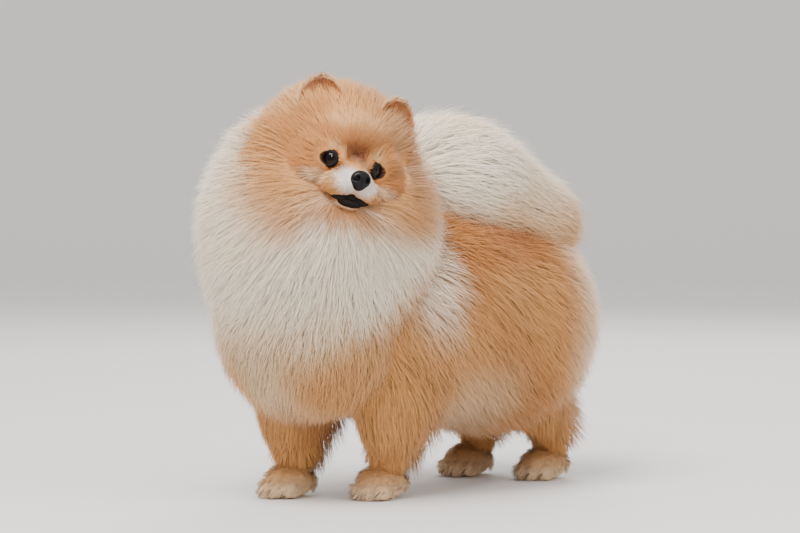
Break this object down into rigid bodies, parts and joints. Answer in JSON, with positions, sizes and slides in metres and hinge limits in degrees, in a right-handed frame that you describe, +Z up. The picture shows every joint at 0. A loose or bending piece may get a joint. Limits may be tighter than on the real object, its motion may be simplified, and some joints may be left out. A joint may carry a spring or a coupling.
{
  "type": "pomeranian",
  "caption": "Life-size still model of a standing Pomeranian dog in full coat: upright rounded ears, head turned to its left, big ruff, plumed tail over the back, short legs.",
  "frame": {"origin": "centre of the bounding box's base, on the floor between the paws", "axes": "+Z is up, the dog's chest faces -Y, and its left side is towards +X"},
  "size_m": [0.177, 0.341, 0.2921],
  "materials": {
    "face_coat": "short orange-brown coat on the face, paler on the muzzle and forehead",
    "ear_coat": "short orange-brown coat with cream rims",
    "ruff_coat": "long white to cream coat, orange beside the face",
    "body_coat": "long orange coat, cream towards the rear",
    "plume_coat": "long cream and white plume with an orange lower fringe",
    "leg_coat": "orange-brown coat, short and pale on the paws",
    "nose_leather": "black, finely grained, slightly moist",
    "eye": "dark brown, wet"
  },
  "bodies": {
    "root": {"head": "face_coat", "nose": "nose_leather", "eye_left": "eye", "eye_right": "eye", "ear_left": "ear_coat", "ear_right": "ear_coat", "neck": "ruff_coat", "torso": "body_coat", "tail": "plume_coat", "foreleg_left": "leg_coat", "foreleg_right": "leg_coat", "hindleg_left": "leg_coat", "hindleg_right": "leg_coat"}
  },
  "joints": []
}
